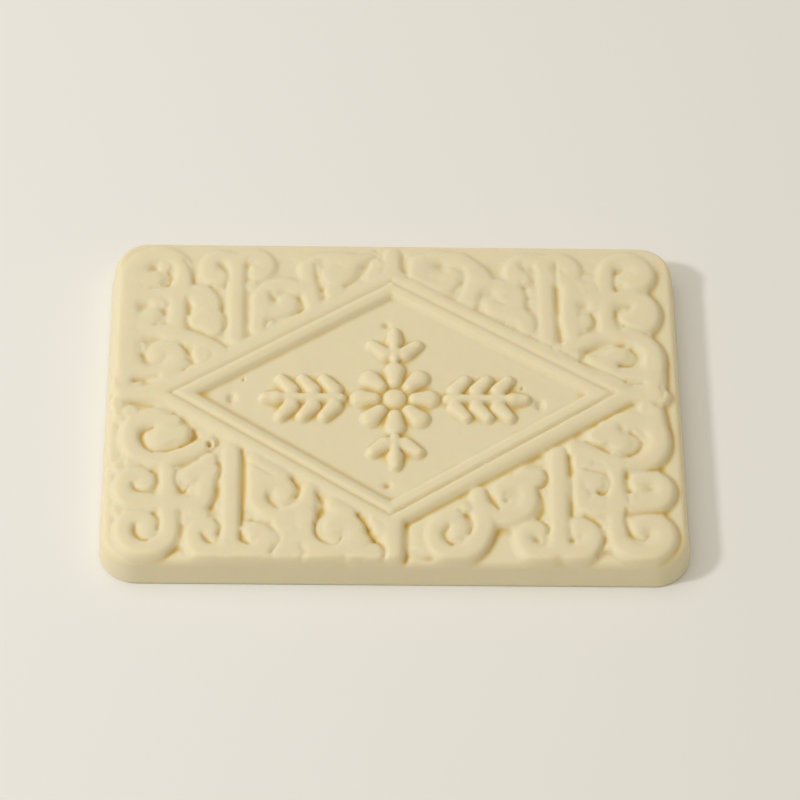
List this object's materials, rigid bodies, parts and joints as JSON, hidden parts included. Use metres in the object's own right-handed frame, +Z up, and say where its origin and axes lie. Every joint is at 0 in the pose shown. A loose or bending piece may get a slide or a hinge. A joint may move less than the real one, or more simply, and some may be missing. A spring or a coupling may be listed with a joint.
{
  "type": "moulded chocolate slab",
  "caption": "Flat rectangular slab of cream-coloured chocolate shaped like a pressed sandwich biscuit, with a ridged lozenge frame and fern-like curls in raised relief.",
  "frame": {"origin": "centre of the flat base, at the bottom of the slab's bounding box", "axes": "+X along the slab's length, +Y across it towards the pattern's top, +Z up out of the moulded face"},
  "size_m": [0.123, 0.085, 0.0084],
  "materials": {
    "white_chocolate": "smooth cream-coloured chocolate with a soft, low sheen"
  },
  "bodies": {
    "root": {"chocolate_slab": "white_chocolate"}
  },
  "joints": []
}
